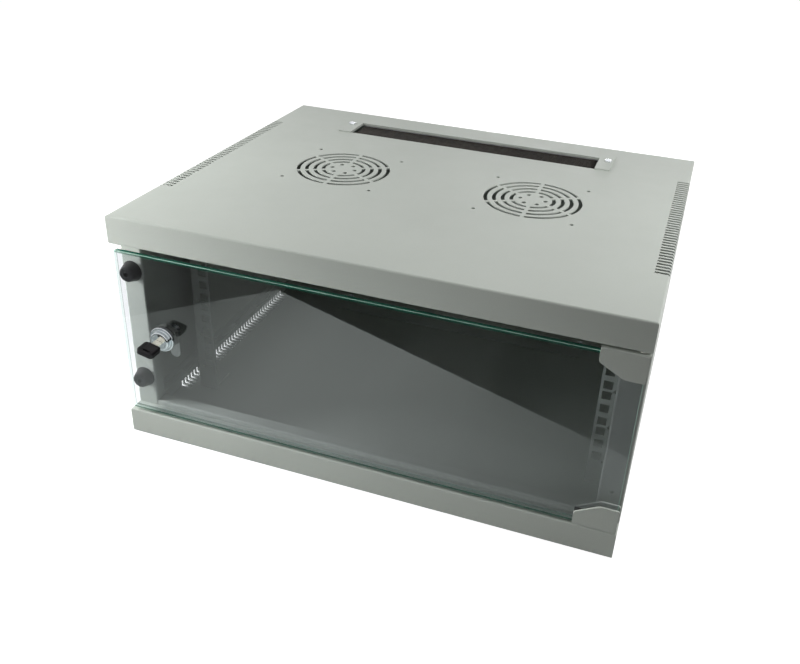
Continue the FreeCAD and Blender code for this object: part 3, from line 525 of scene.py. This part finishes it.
# %% Tools for turned pieces
def eased(corners, steps=6):
    """An outline with rounded corners. corners lists (x, y, ease). Near each corner P it
    follows (1 - s)^2 A + 2 s (1 - s) P + s^2 B, with A and B ease before and after P, and
    one more point a little further out on each side keeps the straight runs flat."""
    given = np.array(corners, dtype=float)
    flat, ease = given[:, :2], given[:, 2:]
    before, after = np.roll(flat, 1, axis=0) - flat, np.roll(flat, -1, axis=0) - flat
    before /= np.linalg.norm(before, axis=1, keepdims=True)
    after /= np.linalg.norm(after, axis=1, keepdims=True)
    start, end = (flat + before * ease)[:, None], (flat + after * ease)[:, None]
    s = np.linspace(0.0, 1.0, steps)[None, :, None]
    curve = (1 - s) ** 2 * start + 2 * s * (1 - s) * flat[:, None] + s ** 2 * end
    further = 1.4
    wider = [(flat + side * ease * further)[:, None] for side in (before, after)]
    return np.concatenate([wider[0], curve, wider[1]], axis=1).reshape(-1, 2)


def eased_open(corners, steps=6):
    """The same for an outline that starts and ends on the axis with an ease of 0."""
    return eased(corners, steps)[steps + 1:-(steps + 1)]


def end_fans(columns, last_ring, first_tip):
    """Triangles that close a tube: the first ring to point first_tip, and the ring that
    starts at point last_ring to the point after it."""
    here = np.arange(columns)
    beside = (here + 1) % columns
    return [np.stack([np.full(columns, first_tip), beside, here], axis=1),
            np.stack([np.full(columns, first_tip + 1), last_ring + here, last_ring + beside],
                     axis=1)]


def turned_shape(outline, middle, forward, columns=72, closed=False):
    """Spins an outline of (radius, along) points about an axis: at turn t a point goes to
    middle + along * forward + radius * (cos t * side + sin t * up)."""
    forward = np.array(forward, dtype=float)
    side = np.array([1.0, 0.0, 0.0])
    up = np.cross(forward, side)
    turn = np.arange(columns) * 2 * np.pi / columns
    spokes = np.outer(np.cos(turn), side) + np.outer(np.sin(turn), up)
    rings = outline if closed else outline[1:-1]
    points = middle + rings[:, None, 1:] * forward + rings[:, None, :1] * spokes[None]
    points = points.reshape(-1, 3)
    faces = [grid_faces(len(rings), columns, close_rows=closed, close_columns=True)]
    if not closed:
        tips = middle + outline[[0, -1], 1:] * forward
        faces += end_fans(columns, len(points) - columns, len(points))
        points = np.concatenate([points, tips])
    return points, faces


# %% Turn the lock's body
def build_lock_body():
    """Nose, collar on the glass and barrel, as (radius, distance behind the nose's face).
    The plug's head lies in the recess, 0.05 mm clear of its wall and of its floor."""
    low, high = (np.array(corner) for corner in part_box("lock_housing"))
    glass_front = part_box("door_glass")[0][1]
    collar, nose, barrel, bore, recess = (high[0] - low[0]) / 2, 0.0105, 0.009, 0.00625, 0.00745
    length, seat, recess_depth = high[1] - low[1], glass_front - low[1], 0.00085
    collar_front = seat - 0.002
    outline = eased([
        (recess, 0.0, 0.0003), (nose, 0.0, 0.0016), (nose, collar_front, 0.0005),
        (collar, collar_front, 0.0010), (collar, seat, 0.0003), (barrel, seat, 0.0003),
        (barrel, length, 0.0006), (bore, length, 0.0004), (bore, recess_depth, 0.0002),
        (recess, recess_depth, 0.00002)])
    middle = np.array([(low[0] + high[0]) / 2, low[1], (low[2] + high[2]) / 2])
    points, faces = turned_shape(outline, middle, (0.0, 1.0, 0.0), columns=96, closed=True)
    piece = make_piece("lock_body", points, faces, [chrome])
    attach(piece, "door")
    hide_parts("lock_housing")


build_lock_body()


# %% Turn the buffers
def build_buffer(node):
    """A cone from its broad base on the post to a rounded tip with a blind hole."""
    low, high = (np.array(corner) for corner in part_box(node))
    base, tip, hole, depth = (high[0] - low[0]) / 2, 0.008, 0.0024, 0.005
    length = high[1] - low[1]
    outline = eased_open([(0.0, depth, 0.0), (hole, depth, 0.0004), (hole, 0.0, 0.0007),
                          (tip, 0.0, 0.0018), (base, length, 0.0005), (0.0, length, 0.0)])
    middle = np.array([(low[0] + high[0]) / 2, low[1], (low[2] + high[2]) / 2])
    points, faces = turned_shape(outline, middle, (0.0, 1.0, 0.0))
    piece = make_piece("rubber_" + node, points, faces, [black_rubber])
    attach(piece, "cabinet")
    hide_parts(node)


for node in ("bumper_upper", "bumper_lower"):
    build_buffer(node)

# %% [markdown]
# ## Screws with a cross recess
#
# A pan head screw is turned too, except for the cross in its head. We could cut that with
# a Boolean, but a formula is cleaner: the head is a dome, and points within a narrow bar
# along either arm of the cross sink towards the shank.

# %% Build the screws
def cross_screw(middle, forward, head, height, shank, length):
    """A pan head screw whose seat is at middle. The dome is height * (1 - 0.4 q^4) high at
    q times its radius, and sinks by 0.6 * height along the arms of a cross."""
    q = np.linspace(0.0, 1.0, 24)
    dome = np.stack([q * head, height * (1.0 - 0.4 * q ** 4)], axis=1)
    stem = np.array([[head, 0.0], [shank, 0.0], [shank, -length], [0.0, -length]])
    forward = np.array(forward)
    points, faces = turned_shape(np.concatenate([dome, stem]), middle, forward)
    flat = points - middle
    along = flat @ forward
    across = np.abs(flat - along[:, None] * forward)
    first, second = across[:, 0], across[:, 1] + across[:, 2]
    narrow, long, soft = 0.10 * head, 0.52 * head, 0.08 * head
    arms = [np.clip((narrow + soft - a) / soft, 0, 1) * np.clip((long + soft - b) / soft, 0, 1)
            for a, b in ((first, second), (second, first))]
    sunk = np.maximum(*arms) * (along > 0.5 * height) * 0.6 * height
    return points - sunk[:, None] * forward, faces


def build_screws(node, body, heads, forward, head, height, shank, length, finish):
    """One piece with a screw at each place in heads."""
    points, faces = [], []
    for middle in heads:
        more_points, more_faces = cross_screw(np.array(middle), forward, head, height, shank, length)
        faces += [part + sum(len(p) for p in points) for part in more_faces]
        points.append(more_points)
    piece = make_piece("turned_" + node, np.concatenate(points), faces, [finish])
    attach(piece, body)
    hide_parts(node)


# %% Place the screws
shank = 0.0019
for node, plate in (("brush_screws", "brush_plate"), ("blanking_screws", "cable_blanking_plate")):
    low, high = (np.array(corner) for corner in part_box(node))
    radius, seat = (high[1] - low[1]) / 2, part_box(plate)[1][2]
    heads = [(x, (low[1] + high[1]) / 2, seat) for x in (low[0] + radius, high[0] - radius)]
    build_screws(node, "cabinet", heads, (0.0, 0.0, 1.0), radius, high[2] - seat, shank,
                 seat - low[2], zinc)
low, high = (np.array(corner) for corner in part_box("cam_screw"))
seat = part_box("lock_cam")[1][1]
heads = [((low[0] + high[0]) / 2, seat, (low[2] + high[2]) / 2)]
# The cam screw sits behind the glass in the darker zinc, painted shade.
build_screws("cam_screw", "lock", heads, (0.0, 1.0, 0.0), (high[0] - low[0]) / 2,
             high[1] - seat, shank, seat - low[1], shaded_satin_zinc)

# %% [markdown]
# ## The key's head
#
# The key hangs from the lock by its blade, a little off level, with a head of moulded
# black plastic. The head is a slab with round corners, thinner towards its ends, with
# grip ribs across it and a slot for a key ring. We carry one round-cornered section
# along the key: each row of points is that section, drawn in near the two ends. Ribs
# and slot are sunk into the flat faces by formula. The lock's own axis gives the place,
# and the lean is the blade's.

# %% Build the key's head
def build_key_head():
    """Row by row, half the section's width shrinks by 0.9 (R - sqrt(R^2 - (R - d)^2)) within
    R of an end, where d is the distance to it. Half its thickness shrinks by 0.6 times
    the same, with a smaller R."""
    low, high = (np.array(corner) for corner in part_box("key_bow"))
    plug_low, plug_high = (np.array(corner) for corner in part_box("lock_plug"))
    axis = (plug_low + plug_high)[[0, 2]] / 2
    width, thick, lean = 0.019, 0.0064, math.radians(12.0)
    corner_radius, edge_radius = 0.0042, 0.0022
    rib_depth, rib_pitch, ribs_from, rib_ease = 0.0008, 0.0021, 0.0028, 0.0006
    slot_at, slot_depth, slot_half_width, slot_half_height = 0.0046, 0.0022, 0.0044, 0.0011
    length = high[1] - low[1]
    along = np.linspace(0.0, length, 80)
    end = np.minimum(along, length - along)

    def drawn_in(radius):
        """How far a round end of that radius pulls each row in."""
        reach = np.clip(radius - end, 0.0, radius)
        return radius - np.sqrt(radius ** 2 - reach ** 2)

    half_width = width / 2 - 0.9 * drawn_in(corner_radius)
    half_thick = thick / 2 - 0.6 * drawn_in(edge_radius)
    loop = rounded_outline((-1.0, -1.0), (1.0, 1.0), radius=0.30, inset=0.0, per_side=44)
    x = loop[None, :, 0] * half_width[:, None]
    z = loop[None, :, 1] * half_thick[:, None]
    y = np.broadcast_to(along[:, None], x.shape)
    flat_part = np.clip((width / 2 - edge_radius - np.abs(x)) / rib_ease, 0, 1)
    middle = np.clip((end[:, None] - ribs_from) / rib_ease, 0, 1)
    ribs = rib_depth * (0.5 - 0.5 * np.cos(2 * np.pi * (y - ribs_from) / rib_pitch))
    slot = (np.clip((slot_half_width - np.abs(x)) / 0.0004, 0, 1)
            * np.clip((slot_half_height - np.abs(y - slot_at)) / 0.0003, 0, 1))
    sunk = np.maximum(ribs * flat_part * middle, slot_depth * slot)
    on_flat_face = np.abs(loop[None, :, 1]) > 0.985
    z = z - np.sign(z) * sunk * on_flat_face
    spun_x = axis[0] + x * math.cos(lean) + z * math.sin(lean)
    spun_z = axis[1] - x * math.sin(lean) + z * math.cos(lean)
    points = np.stack([spun_x, low[1] + y, spun_z], axis=2).reshape(-1, 3)
    rows, columns = x.shape
    faces = [grid_faces(rows, columns, close_columns=True)]
    faces += end_fans(columns, (rows - 1) * columns, len(points))
    tips = [[axis[0], low[1], axis[1]], [axis[0], high[1], axis[1]]]
    piece = make_piece("key_head", np.concatenate([points, tips]), faces, [black_plastic])
    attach(piece, "key")
    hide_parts("key_bow")


build_key_head()

# %% [markdown]
# ## The brush
#
# The cable entry is closed by a strip brush: thousands of nylon bristles in a metal
# channel, through which cables pass. The solid for it is only a block. A particle system
# could grow hairs, but an array is simpler and always gives the same brush. Each bristle
# is a thin three-sided rod. Its root sits in the channel and its tip ends near the front
# edge of the opening. Neighbours lean together in clumps, so the lean is a sum of slow
# waves along the strip plus a little scatter.

# %% Grow the bristles
def build_brush(columns=780, layers=5):
    """Point k of a bristle lies at root + s * (tip - root), with s = k / 3, moved sideways
    by lean * s^2; the three corners of each section lie on a circle that narrows to the tip."""
    low, high = (np.array(corner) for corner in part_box("brush_bristles"))
    random = np.random.default_rng(7)
    count = columns * layers
    sections, sides = 4, 3
    inset, clearance, widest_lean, scatter = 0.0022, 0.0004, 0.002, 0.00016
    root_radius, taper = 0.00021, 0.00007
    tip_gap, tip_spread, most_droop = 0.0002, 0.0011, 0.00025
    place = (np.tile(np.arange(columns), layers) + 0.2 * random.random(count)) / columns
    layer = np.repeat(np.arange(layers), columns)
    x = low[0] + inset + place * (high[0] - low[0] - 2 * inset)
    x = x + (layer % 2) * 0.5 * (high[0] - low[0]) / columns
    z = low[2] + (clearance + layer / (layers - 1) * (high[2] - low[2] - 2 * clearance))
    lean = sum(size * np.sin(x * wave + turn) for size, wave, turn in
               ((0.0007, 210.0, 0.3), (0.0005, 530.0, 1.9), (0.0003, 1130.0, 4.0)))
    lean = lean + random.normal(0.0, scatter, count)
    tip = low[1] + tip_gap + tip_spread * random.random(count) ** 2
    droop = most_droop * random.random(count)
    s = np.linspace(0.0, 1.0, sections)[None, :]
    line = np.stack([x[:, None] + np.clip(lean, -widest_lean, widest_lean)[:, None] * s ** 2,
                     high[1] + (tip - high[1])[:, None] * s,
                     z[:, None] - droop[:, None] * s ** 2], axis=2)
    turn = np.arange(sides) * 2 * np.pi / sides + np.pi / 2
    radius = root_radius - taper * s
    ring = np.stack([np.cos(turn), np.zeros(sides), np.sin(turn)], axis=1)
    points = line[:, :, None, :] + radius[:, :, None, None] * ring[None, None]
    start = (np.arange(count) * sections * sides)[:, None, None]
    walls = (grid_faces(sections, sides, close_columns=True)[None] + start).reshape(-1, 4)
    ends = (np.array([[2, 1, 0], [9, 10, 11]])[None] + start).reshape(-1, 3)
    piece = make_piece("strip_brush", points.reshape(-1, 3), [walls, ends], [bristle])
    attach(piece, "cabinet")
    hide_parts("brush_bristles")


build_brush()

# %% [markdown]
# ## The hinge brackets
#
# Two clips hold the glass door at its right-hand corners. Each is one strip of 2 mm
# sheet folded into a U round the edge of the glass, with a sloping free edge. The solids
# are square at the folds, where real sheet bends round a radius and catches a line of
# light. So we carry the folded section along the clip: the section is a U with round
# folds, and only its height changes from row to row.

# %% Fold the brackets
def build_bracket(node, up):
    """Rows along X from the free end to the hinge. Height is the shoulder's, plus a slope,
    up to the full height with a soft bend, less R - sqrt(R^2 - (R - d)^2) within R of
    either end."""
    low, high = (np.array(corner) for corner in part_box(node))
    width, height = high[0] - low[0], high[2] - low[2]
    sheet, fold, shoulder, apex, radius = 0.002, 0.0024, 0.0154, 0.0185, 0.002
    corner_steps = radius * np.linspace(0.0, 1.0, 9) ** 2
    apex_steps = np.linspace(-0.002, 0.002, 9)
    along = np.unique(np.concatenate([np.linspace(0.0, width, 43), width - apex + apex_steps,
                                      corner_steps, width - corner_steps]))
    slope = (height - shoulder) / (width - apex)
    over = shoulder + along * slope - height
    soft, cut_ease, inner_fold = 0.0006, 0.0003, 0.0008
    rise = height - 0.5 * (np.sqrt(over ** 2 + soft ** 2) - over)
    reach = np.clip(radius - np.minimum(along, width - along), 0.0, radius)
    rise = rise - (radius - np.sqrt(radius ** 2 - reach ** 2)) - 0.5 * soft
    rows = []
    for x, top in zip(low[0] + along, rise):
        section = eased([(low[1], top, cut_ease), (low[1], 0.0, fold), (high[1], 0.0, fold),
                         (high[1], top, cut_ease), (high[1] - sheet, top, cut_ease),
                         (high[1] - sheet, sheet, inner_fold),
                         (low[1] + sheet, sheet, inner_fold),
                         (low[1] + sheet, top, cut_ease)])
        z = low[2] + section[:, 1] if up else high[2] - section[:, 1]
        rows.append(np.stack([np.full(len(section), x), section[:, 0], z], axis=1))
    columns = len(rows[0])
    faces = [grid_faces(len(rows), columns, close_columns=True)]
    start, end = np.arange(columns)[::-1], (len(rows) - 1) * columns + np.arange(columns)
    faces += [start[None], end[None]]
    piece = make_piece("folded_" + node, np.concatenate(rows), faces, [grey_paint])
    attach(piece, "door")
    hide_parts(node)


build_bracket("hinge_bracket_bottom", True)
build_bracket("hinge_bracket_top", False)

# %% [markdown]
# ## The floor and what the glass sees
#
# The floor is a large sheet. A camera ray that meets it finds white light, so the
# picture's background is white, and the light that falls on the floor is added to that:
# where the cabinet shades it, less is added, and a faint shadow can stay. Rays that come
# off metal or through glass meet the same white. Under the cabinet the white glow is
# turned down to a painted shadow, since no lamp reaches there, and the slots in the bottom
# look down on a dark floor. Beside the cabinet the glow is a little weaker, a faint
# painted shade that gives way to full white further off.
#
# The pane is a mirror as well as a window. Seen from above it mirrors the floor in
# front of the door, and a pane that mirrors white all over looks milky. Photographers
# lay dark cards where they don't want a reflection. Ours lie flat on the floor, beyond
# two lines that meet in front of the door's left end: a nearly black one to the right
# of the meeting point and a dim one to its left. Nearer the door lies a pale one, which
# is strongest left of the middle and fades towards both sides. Only mirrored rays see
# the cards.

# %% Tools for the stage
def stage_sheet(name, corners, finish, seen_by_mirrors_only=False):
    """A flat sheet on the floor from its corners, in order."""
    mesh = bpy.data.meshes.new(name)
    mesh.from_pydata(corners, [], [list(range(len(corners)))])
    mesh.materials.append(finish)
    sheet = bpy.data.objects.new(name, mesh)
    bpy.context.scene.collection.objects.link(sheet)
    if seen_by_mirrors_only:
        sheet.visible_camera = False
        sheet.visible_diffuse = False
        sheet.visible_transmission = False
        sheet.visible_shadow = False
        sheet.visible_volume_scatter = False


def seen_directly(finish):
    """1 for a ray from the camera, off a mirror or through glass, and 0 for any other."""
    rays = add_node(finish, "LightPath")
    share = rays.outputs["Is Camera Ray"]
    for kind in ("Is Glossy Ray", "Is Transmission Ray"):
        larger = add_node(finish, "Math", operation="MAXIMUM")
        wire(finish, share, larger.inputs[0])
        wire(finish, rays.outputs[kind], larger.inputs[1])
        share = larger.outputs[0]
    return share


# %% Finishes of the floor and the cards
def floor_glow_painted_shadow(finish, low, high):
    """Glow for direct rays: 0.05 beneath the cabinet, a painted shadow, 0.93 beside it, a faint
    painted shade, and 1 further off. How far a point lies outside a box is the larger of
    |x - middle| - half the width and the same along y."""
    painted_shadow_below, beside, far_off = 0.05, 0.93, 1.0
    where = add_node(finish, "TexCoord")
    parts = add_node(finish, "SeparateXYZ")
    wire(finish, where.outputs["Object"], parts.inputs["Vector"])
    outside = add_node(finish, "Math", operation="MAXIMUM")
    for k, axis in enumerate("XY"):
        off = add_node(finish, "Math", operation="SUBTRACT")
        off.inputs[1].default_value = (low[k] + high[k]) / 2
        size = add_node(finish, "Math", operation="ABSOLUTE")
        past = add_node(finish, "Math", operation="SUBTRACT")
        past.inputs[1].default_value = (high[k] - low[k]) / 2
        wire(finish, parts.outputs[axis], off.inputs[0])
        wire(finish, off.outputs[0], size.inputs[0])
        wire(finish, size.outputs[0], past.inputs[0])
        wire(finish, past.outputs[0], outside.inputs[k])
    # Painted shadow: the glow drops to 0.05 beneath the cabinet and climbs to 0.93 at its edge.
    painted_shadow_fade = between(finish, outside.outputs[0], painted_shadow_below, beside, start=-0.008, end=-0.001)
    # Faint painted shade: the glow climbs from 0.93 beside the cabinet to 1 further off.
    rise_out_of_painted_shade = between(finish, outside.outputs[0], 0.0, far_off - beside, start=0.1, end=0.7)
    total = add_node(finish, "Math", operation="ADD")
    wire(finish, painted_shadow_fade, total.inputs[0])
    wire(finish, rise_out_of_painted_shade, total.inputs[1])
    return total.outputs[0]


def floor_finish(low, high):
    """A matt grey that also glows white for rays that see it directly, with the glow dropped
    to a painted shadow beneath the cabinet.
    """
    finish, shader = new_finish("pale_floor_painted_shadow")
    tone = two_tone(finish, speckle(finish, 0.4, 2.0), (0.28, 0.28, 0.28), (0.32, 0.32, 0.32))
    wire(finish, tone, shader.inputs["Base Color"])
    shader.inputs["Roughness"].default_value = 0.9
    shader.inputs["Specular IOR Level"].default_value = 0.0
    shown = add_node(finish, "Math", operation="MULTIPLY")
    wire(finish, seen_directly(finish), shown.inputs[0])
    wire(finish, floor_glow_painted_shadow(finish, low, high), shown.inputs[1])
    shader.inputs["Emission Color"].default_value = (1.0, 1.0, 1.0, 1.0)
    wire(finish, shown.outputs[0], shader.inputs["Emission Strength"])
    return finish


def plain_light(name, colour, strength):
    """A surface that reflects nothing and glows evenly."""
    finish, shader = new_finish(name)
    shader.inputs["Base Color"].default_value = (0.0, 0.0, 0.0, 1.0)
    shader.inputs["Roughness"].default_value = 1.0
    shader.inputs["Specular IOR Level"].default_value = 0.0
    shader.inputs["Emission Color"].default_value = (*colour, 1.0)
    shader.inputs["Emission Strength"].default_value = strength
    return finish


def faded_light(name, colour):
    """A card whose glow is 1.16 left of X = -0.06 and 0.36 right of 0.22, times 0.42 left
    of X = -0.36 and 1 right of -0.17, with even slopes between."""
    finish = plain_light(name, colour, 1.0)
    where = add_node(finish, "TexCoord")
    parts = add_node(finish, "SeparateXYZ")
    wire(finish, where.outputs["Object"], parts.inputs["Vector"])
    to_right = between(finish, parts.outputs["X"], 1.16, 0.36, start=-0.06, end=0.22)
    to_left = between(finish, parts.outputs["X"], 0.42, 1.0, start=-0.36, end=-0.17)
    glow = add_node(finish, "Math", operation="MULTIPLY")
    wire(finish, to_right, glow.inputs[0])
    wire(finish, to_left, glow.inputs[1])
    shader = finish.node_tree.nodes["Principled BSDF"]
    wire(finish, glow.outputs[0], shader.inputs["Emission Strength"])
    return finish


def on_level(level, *places):
    """Corners at one height from their (x, y) places."""
    return [(x, y, level) for x, y in places]


# %% Lay the floor and the cards
below_box, card_lift = 0.0003, 0.0001
ground = frame_box[0][2] - below_box
card_level = ground + card_lift
far, card_far = 6.0, -3.0
meeting = (-0.280, -0.824)
# The bottom tray's box sets where the floor's painted shadow lies.
stage_sheet("floor", on_level(ground, (-far, -far), (far, -far), (far, far), (-far, far)),
            floor_finish(*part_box("bottom_tray")))
stage_sheet("dark_card_right",
            on_level(card_level, meeting, (meeting[0], card_far), (1.8, card_far), (1.8, -0.034)),
            plain_light("dark_card", (0.5, 0.45, 0.4), 0.02), True)
stage_sheet("dark_card_left",
            on_level(card_level, meeting, (-0.70, -0.390), (-0.70, card_far), (meeting[0], card_far)),
            plain_light("dim_card", (1.0, 1.0, 1.0), 0.10), True)
stage_sheet("pale_card_near",
            on_level(card_level, meeting, (1.2, -0.264), (1.2, -0.46), (-0.64, -0.46)),
            faded_light("pale_card", (0.92, 1.0, 0.98)), True)
print("floor at", round(1000 * ground, 2), "mm, with three cards on it")

# %% [markdown]
# ## Lamps and sky
#
# One wide lamp overhead gives the top its even tone. A second, smaller and close to the
# left end of the door, makes the front bright on the left and lets it fade to the
# right, because light fades fast near a lamp. Its beam is narrowed, or the side panel,
# which is just as near, would burn out. Two more lift the left and right ends of the
# top. A long, very weak one just above the floor stands in for the light a pale floor
# sends back up to the lower front. Shiny surfaces don't see the two lamps at the left
# and the one near the floor, which would leave burnt patches on them. The last two, in
# front and behind, keep those sides readable from other angles. The sky fills in the
# rest softly: mirrors and the camera see it white, and plain surfaces get only a little
# of that.

# %% Place the lamps
def area_lamp(name, place, target, size, power):
    """A rectangular lamp at place that points at target and that the camera can't see."""
    data = bpy.data.lights.new(name, "AREA")
    data.shape = "RECTANGLE"
    data.size, data.size_y = size
    data.energy = power
    lamp = bpy.data.objects.new(name, data)
    lamp.location = place
    lamp.rotation_mode = "QUATERNION"
    lamp.rotation_quaternion = (Vector(target) - Vector(place)).to_track_quat("-Z", "Y")
    lamp.visible_camera = False
    bpy.context.scene.collection.objects.link(lamp)
    print(name, "at", place, "with", power, "W")
    return lamp


area_lamp("overhead", (0.1, 0.15, 1.5), (0.0, -0.225, 0.13), (1.8, 1.2), 4.7)
left_front = area_lamp("left_front", (-0.66, -0.61, 0.11), (0.25, -0.47, 0.02), (0.20, 0.30), 1.66)
left_front.data.spread = math.radians(80.0)
left_top = area_lamp("left_top", (-0.75, -0.40, 0.50), (-0.10, -0.25, 0.13), (0.30, 0.30), 5.0)
area_lamp("right_top", (0.75, -0.25, 0.5), (0.2, -0.25, 0.13), (0.3, 0.4), 4.1)
low_front = area_lamp("low_front", (0.12, -0.68, -0.11), (0.12, -0.44, -0.12), (0.55, 0.03), 0.07)
for lamp in (left_front, left_top, low_front):
    lamp.visible_glossy = False
area_lamp("front_fill", (0.1, -1.9, 0.5), (0.0, -0.4, 0.0), (1.2, 0.6), 0.4)
area_lamp("behind", (0.0, 1.3, 0.10), (0.0, 0.0, 0.0), (0.8, 0.3), 8.0)

# %% Set the sky
sky = bpy.data.worlds.new("studio_sky")
bpy.context.scene.world = sky
sky.use_nodes = True
sky_background = sky.node_tree.nodes["Background"]
sky_background.inputs["Color"].default_value = (1.0, 1.0, 1.0, 1.0)
weak_sky = 0.03
sky_strength = add_node(sky, "Math", operation="MAXIMUM")
sky_strength.inputs[1].default_value = weak_sky
wire(sky, seen_directly(sky), sky_strength.inputs[0])
wire(sky, sky_strength.outputs[0], sky_background.inputs["Strength"])
print("sky set, with", weak_sky, "for plain surfaces")
